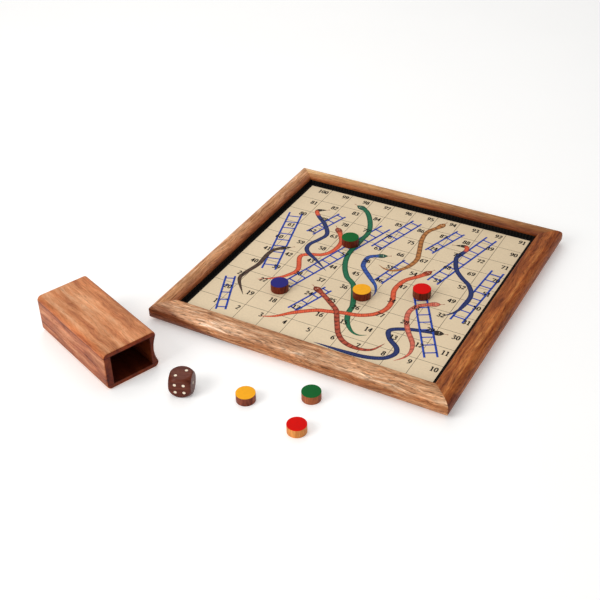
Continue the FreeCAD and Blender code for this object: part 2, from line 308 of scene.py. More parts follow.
def heartwood(level, tint, rise=("X", 0.0, 0.0, 0.0)):
    """Painted shade: a darker, redder lower part of a rail's nose, where it turns from the light,
    with a wavering border.

    level is the border's height in millimetres. rise is an axis, where on it the border stands
    higher, where it no longer does, and by how many millimetres."""
    axis, start, end, extra = rise
    sway, soft = 6.0, 1.5
    foot = level - sway / 2

    def stain(tree, at, colour):
        place = add(tree, "ShaderNodeSeparateXYZ", {0: at["Object"]}).outputs
        waver = add(tree, "ShaderNodeTexNoise", {
            "Vector": at["Object"], "Scale": pitch(30), "Detail": 3.0})
        lift = add(tree, "ShaderNodeMapRange", {
            "Value": place[axis], "From Min": start, "From Max": end,
            "To Min": (foot + extra) * MM, "To Max": foot * MM})
        border = add(tree, "ShaderNodeMath", {0: waver, 1: sway * MM, 2: lift},
                     operation="MULTIPLY_ADD")
        depth = add(tree, "ShaderNodeMath", {0: border, 1: place["Z"]}, operation="SUBTRACT")
        share = add(tree, "ShaderNodeMapRange", {
            "Value": depth, "From Min": -soft * MM, "From Max": soft * MM})
        return tinted(tree, colour, tint, share)
    return stain


def drift(axis, start, end, first, last):
    """Change of tone along an axis, from one place on it to another, for the wood's own changes of
    tone and for painted highlights and shade.
    """
    def stain(tree, at, colour):
        run = add(tree, "ShaderNodeSeparateXYZ", {0: at["Object"]}).outputs[axis]
        share = add(tree, "ShaderNodeMapRange", {"Value": run, "From Min": start, "From Max": end})
        tint = add(tree, "ShaderNodeMix", {
            SHARE: share, COLOUR_A: (*first, 1.0), COLOUR_B: (*last, 1.0)}, data_type="RGBA")
        return add(tree, "ShaderNodeVectorMath", {0: colour, 1: tint.outputs[MIXED]},
                   operation="MULTIPLY")
    return stain


def cup_stain(corner, bearing, length, half, low, high):
    """The cup's inside is darkened as painted shade, the rim of its mouth is dark, and its long
    edges are redder.

    corner lies in the middle of the closed end, bearing is the way to the mouth, half is half the
    width of the inside, and low and high are the levels of its floor and roof."""
    middle = corner.y * math.cos(bearing) - corner.x * math.sin(bearing)
    far = corner.x * math.cos(bearing) + corner.y * math.sin(bearing)
    skin, rim = 0.1 * MM, 0.2 * MM

    def stain(tree, at, colour):
        turned = add(tree, "ShaderNodeMapping", {
            "Vector": at["Object"], "Rotation": (0, 0, -bearing)})
        place = add(tree, "ShaderNodeSeparateXYZ", {0: turned}).outputs
        off = add(tree, "ShaderNodeMath", {0: place["Y"], 1: middle}, operation="SUBTRACT")
        aside = add(tree, "ShaderNodeMath", {0: off}, operation="ABSOLUTE")
        edge = add(tree, "ShaderNodeMapRange", {
            "Value": aside, "From Min": half + 1 * MM, "From Max": half + 5 * MM, "To Max": 0.8})
        colour = tinted(tree, colour, (0.86, 0.64, 0.50), edge)
        # Painted shade: the cup's inside is darkened where little light reaches it
        inside = add(tree, "ShaderNodeMath", {0: aside, 1: half + skin}, operation="LESS_THAN")
        level = add(tree, "ShaderNodeMath", {
            0: place["Z"], 1: (low + high) / 2, 2: (high - low) / 2 + skin}, operation="COMPARE")
        past_end, past_mouth = (
            add(tree, "ShaderNodeMath", {0: place["X"], 1: reach}, operation="GREATER_THAN")
            for reach in (far + rim, far + length - rim))
        for part in (level, past_end):
            inside = add(tree, "ShaderNodeMath", {0: inside, 1: part}, operation="MULTIPLY")
        colour = tinted(tree, colour, (0.30, 0.13, 0.08), inside)
        return tinted(tree, colour, (0.56, 0.25, 0.10), past_mouth)
    return stain


def glue_line(level):
    """Stain: thin dark line where two boards of the cup are glued together."""
    def stain(tree, at, colour):
        height = add(tree, "ShaderNodeSeparateXYZ", {0: at["Object"]}).outputs["Z"]
        off = add(tree, "ShaderNodeMath", {0: height, 1: level}, operation="SUBTRACT")
        away = add(tree, "ShaderNodeMath", {0: off}, operation="ABSOLUTE")
        share = add(tree, "ShaderNodeMapRange", {
            "Value": away, "From Min": 0.2 * MM, "From Max": 0.6 * MM,
            "To Min": 1.0, "To Max": 0.0})
        return tinted(tree, colour, (0.5, 0.36, 0.28), share)
    return stain


def mottled(name, colour, spread, size_mm, roughness, relief_mm=0.0, **surface):
    """Even finish with a slight cloud of tone, such as lacquer, print, plating or raw board.

    spread is how far the tone goes either way, and size_mm the size of a cloud."""
    material, tree, shader, at = new_material(name, **surface)
    cloud = add(tree, "ShaderNodeTexNoise", {
        "Vector": at["Object"], "Scale": pitch(size_mm), "Detail": 4.0, "Roughness": 0.6})
    base = Vector(colour[:3])
    tone = add(tree, "ShaderNodeValToRGB", {"Fac": cloud}, stops=[
        (0.30, (*(base * (1 - spread)), 1.0)), (0.70, (*(base * (1 + spread)), 1.0))])
    gloss = add(tree, "ShaderNodeMapRange", {
        "Value": cloud, "From Min": 0.3, "From Max": 0.7,
        "To Min": roughness - 0.05, "To Max": roughness + 0.05})
    feed(tree, shader, {"Base Color": tone, "Roughness": gloss})
    if relief_mm:
        bump = add(tree, "ShaderNodeBump", {
            "Height": cloud, "Strength": 0.3, "Distance": relief_mm * MM})
        feed(tree, shader, {"Normal": bump})
    return material


def printed_paper(name, colour):
    """Laminated print on cream paper: a soft sheen, faint fibre clouds and darker patches."""
    material, tree, shader, at = new_material(name, Specular_IOR_Level=0.15)
    wide, fine = (
        add(tree, "ShaderNodeTexNoise", {
            "Vector": at["Object"], "Scale": pitch(size), "Detail": detail})
        for size, detail in ((90, 2.0), (1.6, 3.0)))
    both = add(tree, "ShaderNodeMath", {0: wide, 1: fine}, operation="ADD")
    tone = add(tree, "ShaderNodeMapRange", {
        "Value": both, "From Min": 0.7, "From Max": 1.3, "To Min": 0.93, "To Max": 1.05})
    shaded = add(tree, "ShaderNodeVectorMath", {0: colour[:3], "Scale": tone}, operation="SCALE")
    gloss = add(tree, "ShaderNodeMapRange", {
        "Value": fine, "From Min": 0.3, "From Max": 0.7, "To Min": 0.42, "To Max": 0.52})
    feed(tree, shader, {"Base Color": shaded, "Roughness": gloss})
    return material


def black_felt(name, colour):
    """Black felt or flock: matt, with a slanting nap that is drawn coarse, so that it shows."""
    material, tree, shader, at = new_material(name, Roughness=0.95, Specular_IOR_Level=0.1)
    slant = add(tree, "ShaderNodeMapping", {
        "Vector": at["Object"], "Rotation": (0, 0, math.radians(40))})
    nap = add(tree, "ShaderNodeTexWave", {
        "Vector": slant, "Scale": pitch(7), "Distortion": 3.0, "Detail": 2.0})
    tone = add(tree, "ShaderNodeMapRange", {
        "Value": nap.outputs["Fac"], "To Min": 0.5, "To Max": 3.0})
    shaded = add(tree, "ShaderNodeVectorMath", {0: colour[:3], "Scale": tone}, operation="SCALE")
    feed(tree, shader, {"Base Color": shaded})
    return material


def offset_ink(name):
    """Printing ink in the colour that each stamp carries, a little uneven as ink on paper is."""
    material, tree, shader, at = new_material(name, Roughness=0.5, Specular_IOR_Level=0.1)
    ink = add(tree, "ShaderNodeAttribute", attribute_name="ink")
    cloud = add(tree, "ShaderNodeTexNoise", {
        "Vector": at["Object"], "Scale": pitch(2.5), "Detail": 3.0})
    tone = add(tree, "ShaderNodeMapRange", {
        "Value": cloud, "From Min": 0.3, "From Max": 0.7, "To Min": 0.85, "To Max": 1.18})
    shaded = add(tree, "ShaderNodeVectorMath", {0: ink, "Scale": tone}, operation="SCALE")
    feed(tree, shader, {"Base Color": shaded})
    return material


def snake_ink(name):
    """Printed snake skin: dark head, coloured neck, a shaded edge and bands across the back."""
    material, tree, shader, at = new_material(name, Roughness=0.5, Specular_IOR_Level=0.1)
    from_head, across, banding = (
        add(tree, "ShaderNodeAttribute", attribute_name=key).outputs["Fac"]
        for key in ("from_head", "across", "banding"))
    skin, neck, body = (
        add(tree, "ShaderNodeAttribute", attribute_name=key)
        for key in ("head_ink", "neck_ink", "body_ink"))
    blend = 1.5
    for reach, ink in ((8.0, neck), (16.0, body)):
        past = add(tree, "ShaderNodeMapRange", {
            "Value": from_head, "From Min": (reach - blend) * MM, "From Max": (reach + blend) * MM})
        skin = add(tree, "ShaderNodeMix", {SHARE: past, COLOUR_A: skin, COLOUR_B: ink},
                   data_type="RGBA").outputs[MIXED]
    aside = add(tree, "ShaderNodeMath", {0: across}, operation="ABSOLUTE")
    edge = add(tree, "ShaderNodeMapRange", {
        "Value": aside, "From Min": 0.4, "From Max": 1.0, "To Min": 1.14, "To Max": 0.5})
    turn = add(tree, "ShaderNodeMath", {0: from_head, 1: 2 * math.pi * pitch(5)},
               operation="MULTIPLY")
    wave = add(tree, "ShaderNodeMath", {0: turn}, operation="SINE")
    spots, cloud = (
        add(tree, "ShaderNodeTexNoise", {
            "Vector": at["Object"], "Scale": pitch(size), "Detail": detail})
        for size, detail in ((2.2, 2.0), (2.0, 3.0)))
    spotted = add(tree, "ShaderNodeMath", {0: spots, 1: 6.0, 2: -3.0}, operation="MULTIPLY_ADD")
    both = add(tree, "ShaderNodeMath", {0: wave, 1: spotted}, operation="ADD")
    band = add(tree, "ShaderNodeMapRange", {
        "Value": both, "From Min": 0.2, "From Max": 0.8, "To Min": 0.0, "To Max": 0.6})
    marks = add(tree, "ShaderNodeMath", {0: band, 1: banding}, operation="MULTIPLY")
    left = add(tree, "ShaderNodeMath", {0: 1.0, 1: marks}, operation="SUBTRACT")
    # Fine hatching across the back, drawn coarser than the print has it, so that it shows
    stroke = add(tree, "ShaderNodeMath", {0: from_head, 1: 2 * math.pi * pitch(1.8), 2: across},
                 operation="MULTIPLY_ADD")
    strokes = add(tree, "ShaderNodeMath", {0: stroke}, operation="SINE")
    hatch = add(tree, "ShaderNodeMath", {0: strokes, 1: 0.16, 2: 1.0}, operation="MULTIPLY_ADD")
    shade = add(tree, "ShaderNodeMapRange", {
        "Value": cloud, "From Min": 0.3, "From Max": 0.7, "To Min": 0.85, "To Max": 1.15})
    for factor in (edge, left, hatch):
        shade = add(tree, "ShaderNodeMath", {0: shade, 1: factor}, operation="MULTIPLY")
    shaded = add(tree, "ShaderNodeVectorMath", {0: skin, "Scale": shade}, operation="SCALE")
    feed(tree, shader, {"Base Color": shaded})
    return material


# Meshes

def place(name, mesh, material, body, slot, *nodes):
    """Puts a finished mesh in the scene, riding on a body and standing for nodes of the frame."""
    mesh.name = name
    mesh.materials.clear()
    mesh.materials.append(material)
    piece = bpy.data.objects.new(name, mesh)
    bpy.context.scene.collection.objects.link(piece)
    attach(piece, body)
    if nodes:
        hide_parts(*nodes)
    return piece


def finish_node(node, material):
    """Gives a node of the frame its finish."""
    frame["nodes"][node].material_slots[0].material = material


def centre_of(node):
    """Middle of a node's box, and its lower and upper corner."""
    low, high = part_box(node)
    return (low + high) / 2, low, high


def oval(centre, radii, count):
    """Points round an oval."""
    angles = (2 * math.pi * k / count for k in range(count))
    return [Vector((centre[0] + radii[0] * math.cos(a), centre[1] + radii[1] * math.sin(a)))
            for a in angles]


def lathe(outline, steps=72):
    """Closed mesh turned about the vertical, from (radius, height) points that join the axis."""
    mesh = bpy.data.meshes.new("turned")
    shape = bmesh.new()
    rings = []
    for radius, height in outline:
        if radius == 0:
            rings.append([shape.verts.new((0, 0, height))])
            continue
        round_axis = oval((0, 0), (radius, radius), steps)
        rings.append([shape.verts.new((*point, height)) for point in round_axis])
    for first, second in zip(rings, rings[1:]):
        for step in range(steps):
            corners = [first[step % len(first)], first[(step + 1) % len(first)],
                       second[(step + 1) % len(second)], second[step % len(second)]]
            shape.faces.new(list(dict.fromkeys(corners)))
    bmesh.ops.recalc_face_normals(shape, faces=shape.faces)
    shape.to_mesh(mesh)
    shape.free()
    mesh.polygons.foreach_set("use_smooth", [True] * len(mesh.polygons))
    mesh.set_sharp_from_angle(angle=math.radians(50))
    return mesh


def eased(corner, before, after, radius, steps=4):
    """Points of a rounded corner of an outline."""
    corner = Vector(corner)
    start = corner + (Vector(before) - corner).normalized() * radius
    end = corner + (Vector(after) - corner).normalized() * radius
    points = []
    for step in range(steps + 1):
        share = step / steps
        points.append(tuple(start.lerp(corner, share).lerp(corner.lerp(end, share), share)))
    return points


def smooth_path(points, steps):
    """Points of a smooth curve through the given ones."""
    points = [Vector(p) for p in points]
    ends = [2 * points[0] - points[1]] + points + [2 * points[-1] - points[-2]]
    path = []
    for a, b, c, d in zip(ends, ends[1:], ends[2:], ends[3:]):
        for step in range(steps):
            t = step / steps
            path.append(0.5 * (2 * b + (c - a) * t + (2 * a - 5 * b + 4 * c - d) * t ** 2
                               + (3 * b - a - 3 * c + d) * t ** 3))
    return path + [points[-1]]


def pen_stroke(shape, points, closed, thin=0.04, thick=0.10):
    """Flat slab along points, thin where the pen runs level and thick where it runs upright."""
    count = len(points)
    rows = []
    for index, point in enumerate(points):
        ahead = points[(index + 1) % count] if closed else points[min(index + 1, count - 1)]
        behind = points[index - 1] if closed else points[max(index - 1, 0)]
        run = (ahead - behind).normalized()
        half = thin + (thick - thin) * abs(run.y)
        side = Vector((-run.y, run.x)) * half
        left, right = point + side, point - side
        rows.append([shape.verts.new((*left, 1)), shape.verts.new((*right, 1)),
                     shape.verts.new((*right, 0)), shape.verts.new((*left, 0))])
    pairs = list(zip(rows, rows[1:] + rows[:1]))
    for first, second in pairs if closed else pairs[:-1]:
        for k in range(4):
            shape.faces.new((first[k], first[(k + 1) % 4], second[(k + 1) % 4], second[k]))
    if not closed:
        shape.faces.new(rows[0])
        shape.faces.new(rows[-1])


def prism(shape, outline):
    """Slab of unit height over an outline."""
    low = [shape.verts.new((*p, 0)) for p in outline]
    high = [shape.verts.new((*p, 1)) for p in outline]
    shape.faces.new(low)
    shape.faces.new(high)
    for index in range(len(outline)):
        after = (index + 1) % len(outline)
        shape.faces.new((low[index], low[after], high[after], high[index]))


def stamp_shape(index):
    """Unit mesh of one stamp: a numeral, or one of the plain shapes."""
    shape = bmesh.new()
    if index == DISC:
        prism(shape, oval((0, 0), (0.5, 0.5), 24))
    elif index == SQUARE:
        prism(shape, [(-0.5, -0.5), (0.5, -0.5), (0.5, 0.5), (-0.5, 0.5)])
    elif index == WEDGE:
        prism(shape, [(0, 0), (-0.5, 0.5), (-0.5, -0.5)])
    elif index == TONGUE:
        prism(shape, [
            (0, -0.08), (0.6, -0.08), (1.0, -0.3), (0.8, 0), (1.0, 0.3), (0.6, 0.08), (0, 0.08)])
    else:
        for kind, *points in NUMERALS[index]:
            if kind == "ring":
                pen_stroke(shape, oval(*points, 16), True)
            elif kind == "curve":
                pen_stroke(shape, smooth_path(points, 4), False)
            else:
                pen_stroke(shape, [Vector(p) for p in points], False)
    bmesh.ops.recalc_face_normals(shape, faces=shape.faces)
    mesh = bpy.data.meshes.new(f"stamp_{index:02d}")
    shape.to_mesh(mesh)
    shape.free()
    return mesh


# Geometry node trees

def new_tree(name, **sockets):
    """Tree with a geometry input and output and named inputs."""
    tree = bpy.data.node_groups.new(name, "GeometryNodeTree")
    tree.interface.new_socket("Geometry", in_out="INPUT", socket_type="NodeSocketGeometry")
    for label, kind in sockets.items():
        tree.interface.new_socket(label, in_out="INPUT", socket_type="NodeSocket" + kind)
    tree.interface.new_socket("Geometry", in_out="OUTPUT", socket_type="NodeSocketGeometry")
    return tree, add(tree, "NodeGroupInput").outputs


def close_tree(tree, geometry, material):
    """Ends a tree: instances made real, and their material."""
    real = add(tree, "GeometryNodeRealizeInstances", {"Geometry": geometry})
    dressed = add(tree, "GeometryNodeSetMaterial", {"Geometry": real, "Material": material})
    add(tree, "NodeGroupOutput", {0: dressed})


def grown(tree, carrier, **values):
    """Plain mesh that a tree grows on a carrier mesh."""
    holder = bpy.data.objects.new("carrier", carrier)
    bpy.context.scene.collection.objects.link(holder)
    modifier = holder.modifiers.new("Tree", "NODES")
    modifier.node_group = tree
    for item in tree.interface.items_tree:
        if item.in_out == "INPUT" and item.name in values:
            modifier[item.identifier] = values[item.name]
    depsgraph = bpy.context.evaluated_depsgraph_get()
    mesh = bpy.data.meshes.new_from_object(
        holder.evaluated_get(depsgraph), preserve_all_data_layers=True, depsgraph=depsgraph)
    bpy.data.objects.remove(holder)
    return mesh


def carrier_mesh(points, edges=(), **attributes):
    """Mesh of points, with named values on each of them: a number, a vector or a colour."""
    mesh = bpy.data.meshes.new("carrier")
    mesh.from_pydata(points, edges, [])
    for name, values in attributes.items():
        first = values[0]
        if isinstance(first, int):
            kind, key = "INT", "value"
        elif isinstance(first, float):
            kind, key = "FLOAT", "value"
        elif len(first) == 3:
            kind, key = "FLOAT_VECTOR", "vector"
        else:
            kind, key = "FLOAT_COLOR", "color"
        flat = values if key == "value" else [part for value in values for part in value]
        mesh.attributes.new(name, kind, "POINT").data.foreach_set(key, flat)
    return mesh


def stamps_tree():
    """Puts stamps on points: each point says which stamp, its scale and its turn."""
    tree, given = new_tree("Stamps", Stamps="Collection", Material="Material")
    stock = add(tree, "GeometryNodeCollectionInfo", {
        "Collection": given["Stamps"], "Separate Children": True, "Reset Children": True})
    which, scale, angles = (
        add(tree, "GeometryNodeInputNamedAttribute", {"Name": key}, data_type=kind)
        for key, kind in (("stamp", "INT"), ("span", "FLOAT_VECTOR"), ("turn", "FLOAT_VECTOR")))
    turn = add(tree, "FunctionNodeEulerToRotation", {0: angles})
    put = add(tree, "GeometryNodeInstanceOnPoints", {
        "Points": given["Geometry"], "Instance": stock, "Pick Instance": True,
        "Instance Index": which, "Rotation": turn, "Scale": scale})
    close_tree(tree, put, given["Material"])
    return tree


def field_lines_tree():
    """Lines across a square field, both ways, without its border."""
    tree, given = new_tree(
        "Field lines", Side="Float", Squares="Int", Line="Float", Thickness="Float",
        Material="Material")
    step = add(tree, "ShaderNodeMath", {0: given["Side"], 1: given["Squares"]}, operation="DIVIDE")
    half = add(tree, "ShaderNodeMath", {0: given["Side"], 1: -0.5}, operation="MULTIPLY")
    first = add(tree, "ShaderNodeMath", {0: half, 1: step}, operation="ADD")
    count = add(tree, "ShaderNodeMath", {0: given["Squares"], 1: 1.0}, operation="SUBTRACT")
    row = add(tree, "GeometryNodeMeshLine", {
        "Count": count,
        "Start Location": add(tree, "ShaderNodeCombineXYZ", {"X": first}),
        "Offset": add(tree, "ShaderNodeCombineXYZ", {"X": step})})
    bar = add(tree, "GeometryNodeMeshCube", {
        "Size": add(tree, "ShaderNodeCombineXYZ", {
            "X": given["Line"], "Y": given["Side"], "Z": given["Thickness"]})})
    upright = add(tree, "GeometryNodeInstanceOnPoints", {"Points": row, "Instance": bar})
    level = add(tree, "GeometryNodeTransform", {
        "Geometry": upright, "Rotation": (0, 0, math.pi / 2)})
    both = add(tree, "GeometryNodeJoinGeometry", {0: [upright, level]})
    at_point = add(tree, "GeometryNodeInstanceOnPoints", {
        "Points": given["Geometry"],
        "Instance": add(tree, "GeometryNodeGeometryToInstance", {0: both})})
    close_tree(tree, at_point, given["Material"])
    return tree


def ladders_tree():
    """A ladder on each edge: two rails and evenly spaced rungs, as wide as its points say."""
    tree, given = new_tree(
        "Ladders", Spacing="Float", Rail="Float", Rung="Float", Thickness="Float",
        Material="Material")
    lines = add(tree, "GeometryNodeMeshToCurve", {"Mesh": given["Geometry"]})
    width = add(tree, "GeometryNodeInputNamedAttribute", {"Name": "ladder_width"},
                data_type="FLOAT")
    run = add(tree, "GeometryNodeInputTangent")
    side = add(tree, "ShaderNodeVectorMath", {0: run, 1: UP}, operation="CROSS_PRODUCT")
    section = add(tree, "GeometryNodeCurvePrimitiveQuadrilateral", {
        "Width": given["Rail"], "Height": given["Thickness"]})
    rails = []
    for share in (0.5, -0.5):
        reach = add(tree, "ShaderNodeMath", {0: width, 1: share}, operation="MULTIPLY")
        shift = add(tree, "ShaderNodeVectorMath", {0: side, "Scale": reach}, operation="SCALE")
        moved = add(tree, "GeometryNodeSetPosition", {"Geometry": lines, "Offset": shift})
        level = add(tree, "GeometryNodeSetCurveNormal", {"Curve": moved}, mode="Z_UP")
        rail = add(tree, "GeometryNodeCurveToMesh", {
            "Curve": level, "Profile Curve": section, "Fill Caps": True})
        rails.append(rail)
    lowest, highest = 0.07, 0.93
    middle = add(tree, "GeometryNodeTrimCurve", {"Curve": lines, "Start": lowest, "End": highest},
                 mode="FACTOR")
    places = add(tree, "GeometryNodeResampleCurve", {"Curve": middle, "Length": given["Spacing"]},
                 mode="LENGTH")
    bar = add(tree, "GeometryNodeMeshCube", {
        "Size": add(tree, "ShaderNodeCombineXYZ", {
            "X": 1.0, "Y": given["Rung"], "Z": given["Thickness"]})})
    across = add(tree, "FunctionNodeAlignRotationToVector", {"Vector": side}, axis="X")
    rungs = add(tree, "GeometryNodeInstanceOnPoints", {
        "Points": places, "Instance": bar, "Rotation": across,
        "Scale": add(tree, "ShaderNodeCombineXYZ", {"X": width, "Y": 1.0, "Z": 1.0})})
    both = add(tree, "GeometryNodeJoinGeometry", {0: [*rails, rungs]})
    close_tree(tree, both, given["Material"])
    return tree


def snakes_tree():
    """A flat snake along each path: round nose, swollen head, long tapering tail."""
    nose_power, head_swell, tail_power = 0.6, 0.4, 0.75
    least_half = 0.1 * MM
    tree, given = new_tree(
        "Snakes", Step="Float", Head="Float", Tail="Float", Face="Float", Material="Material")
    paths = add(tree, "GeometryNodeMeshToCurve", {"Mesh": given["Geometry"]})
    smooth = add(tree, "GeometryNodeCurveSplineType", {"Curve": paths}, spline_type="CATMULL_ROM")
    fine = add(tree, "GeometryNodeResampleCurve", {"Curve": smooth, "Length": given["Step"]},
               mode="LENGTH")
    level = add(tree, "GeometryNodeSetCurveNormal", {"Curve": fine}, mode="Z_UP")
    from_head, to_tail, radius, nose_length, layer = (
        add(tree, "GeometryNodeInputNamedAttribute", {"Name": key}, data_type="FLOAT")
        for key in ("from_head", "to_tail", "half_width", "nose_length", "layer"))
    along_nose, along_head, along_tail = (
        add(tree, "ShaderNodeMath", {0: run, 1: length}, operation="DIVIDE", use_clamp=True)
        for run, length in (
            (from_head, nose_length), (from_head, given["Head"]), (to_tail, given["Tail"])))
    nose = add(tree, "ShaderNodeMath", {0: along_nose, 1: nose_power}, operation="POWER")
    swell_at = add(tree, "ShaderNodeMath", {0: along_head, 1: math.pi}, operation="MULTIPLY")
    swell = add(tree, "ShaderNodeMath", {0: swell_at}, operation="SINE")
    bulge = add(tree, "ShaderNodeMath", {0: swell, 1: head_swell, 2: 1.0}, operation="MULTIPLY_ADD")
    tail = add(tree, "ShaderNodeMath", {0: along_tail, 1: tail_power}, operation="POWER")
    for factor in (nose, bulge, tail):
        radius = add(tree, "ShaderNodeMath", {0: radius, 1: factor}, operation="MULTIPLY")
    reach = add(tree, "ShaderNodeMath", {0: radius, 1: least_half}, operation="MAXIMUM")
    where = add(tree, "ShaderNodeSeparateXYZ", {0: add(tree, "GeometryNodeInputPosition")}).outputs
    # The section runs from -1 to 1 across the snake; its thickness is set further down
    section = add(tree, "GeometryNodeCurvePrimitiveQuadrilateral", {"Width": 2.0, "Height": 0.1})
    cut = add(tree, "GeometryNodeSubdivideCurve", {"Curve": section, "Cuts": 3})
    marked = add(tree, "GeometryNodeStoreNamedAttribute", {
        "Geometry": cut, "Name": "across", "Value": where["X"]}, data_type="FLOAT", domain="POINT")
    body = add(tree, "GeometryNodeCurveToMesh", {
        "Curve": level, "Profile Curve": marked, "Scale": reach, "Fill Caps": True})
    # The slab lies on the sheet, as thick as its layer from head to tail
    above = add(tree, "ShaderNodeMath", {0: where["Z"], 1: given["Face"]}, operation="GREATER_THAN")
    height = add(tree, "ShaderNodeMath", {0: above, 1: layer, 2: given["Face"]},
                 operation="MULTIPLY_ADD")
    laid = add(tree, "ShaderNodeCombineXYZ", {"X": where["X"], "Y": where["Y"], "Z": height})
    flat = add(tree, "GeometryNodeSetPosition", {"Geometry": body, "Position": laid})
    close_tree(tree, flat, given["Material"])
    return tree


# Settings

def colour_setting(name, description, default):
    """Colour picker with an sRGB default."""
    return FloatVectorProperty(
        name=name, description=description, default=linear(default), size=4, min=0, max=1,
        subtype="COLOR")


def length_setting(name, description, millimetres):
    """Length in the scene's unit."""
    return FloatProperty(
        name=name, description=description, default=millimetres * MM, unit="LENGTH", precision=5)


def angle_setting(name, description, degrees):
    """Angle with a default in degrees."""
    return FloatProperty(
        name=name, description=description, default=math.radians(degrees), subtype="ANGLE")


class BoardPrintSettings(bpy.types.PropertyGroup):
    """Printed sides of the board."""
    squares: IntProperty(
        name="Squares", description="Squares along one side of the field", default=10, min=2)
    line: length_setting("Line", "Width of the lines between squares", 0.35)
    line_height: length_setting("Line layer", "How far the lines stand on the sheet", 0.02)
    number_height: length_setting("Number height", "Height of a numeral", 5.4)
    number_layer: length_setting("Number layer", "How far the numerals stand on the sheet", 0.09)
    ladder_layer: length_setting("Ladder layer", "How far the ladders stand on the sheet", 0.044)
    snake_layer: length_setting("Snake layer", "How far the lowest snake stands up", 0.036)
    layer_step: length_setting("Layer step", "How far each snake stands over the one before", 0.004)
    snake_head: length_setting("Snake head", "Length of the swollen part of a snake", 10)
    snake_tail: length_setting("Snake tail", "Length over which a snake tapers", 30)
    snake_step: length_setting("Snake step", "Distance between a snake's cross sections", 1.2)
    ladder_rail: length_setting("Ladder rail", "Width of a ladder's rail", 1.7)
    ladder_rung: length_setting("Ladder rung", "Width of a ladder's rung", 1.3)
    rung_spacing: length_setting("Rung spacing", "Distance between a ladder's rungs", 9.2)
    ladder_ink: colour_setting("Ladder ink", "Colour of the ladders", "#2F4CAC")
    line_ink: colour_setting("Line ink", "Colour of the lines between squares", "#4A4034")
    paper: colour_setting("Paper", "Colour of both printed sheets", "#E4CEAC")
    black: colour_setting("Black", "Colour of edging and margin round the sheets", "#0D0B0A")
    ludo_squares: IntProperty(
        name="Ludo squares", description="Squares along one side of the ludo field", default=15)


class TokenSettings(bpy.types.PropertyGroup):
    """Round tokens."""
    edge: length_setting("Edge", "Rounding of the wood's lower edge", 0.25)
    top_edge: length_setting("Top edge", "Rounding of the coloured top", 0.15)
    magnet_edge: length_setting("Magnet edge", "Rounding of the magnet's edges", 0.3)
    hole_clearance: length_setting("Hole clearance", "Gap round the magnet", 0.1)
    green: colour_setting("Green", "Colour of green tops", "#17632E")
    blue: colour_setting("Blue", "Colour of blue tops", "#2E2B78")
    yellow: colour_setting("Yellow", "Colour of yellow tops", "#FAAE24")
    red: colour_setting("Red", "Colour of red tops", "#DA0F08")


class DieSettings(bpy.types.PropertyGroup):
    """Die."""
    turn: angle_setting("Turn", "Turn about the vertical", 20)
    edge_cut: length_setting("Edge cut", "What the ball takes off the middle of an edge", 0.4)
    pip: length_setting("Pip", "Diameter of a pip", 2.5)
    pip_spread: length_setting("Pip spread", "Pip rows from the middle of a face", 3.25)
    pip_depth: length_setting("Pip depth", "Depth of a drilled pip", 0.45)
    paint_depth: length_setting("Paint depth", "How far the paint lies under the face", 0.12)
    pip_paint: colour_setting("Pip paint", "Colour of the pips", "#F6E6CC")


class CupSettings(bpy.types.PropertyGroup):
    """Dice cup."""
    length: length_setting("Length", "Length of the cup", 96.2)
    bore: length_setting("Bore", "Width of the cup's inside", 33.3)


class StageSettings(bpy.types.PropertyGroup):
    """Floor, light and camera."""
    camera: FloatVectorProperty(
        name="Camera", description="Place of the camera", default=(0.34764, -0.61404, 0.50581),
        subtype="TRANSLATION")
    azimuth: angle_setting("Azimuth", "Camera's bearing, to the right of the front", 29.853)
    elevation: angle_setting("Elevation", "How far the camera looks down", 35.858)
    roll: angle_setting("Roll", "Camera's tilt", -1.579)
    lens: FloatProperty(
        name="Lens", description="Focal length of the camera", default=64.34, unit="CAMERA")
    sensor: FloatProperty(
        name="Sensor", description="Width of the camera's sensor", default=36, unit="CAMERA")
    floor: colour_setting("Floor", "Colour of the floor", "#F4F3F1")


# Operators

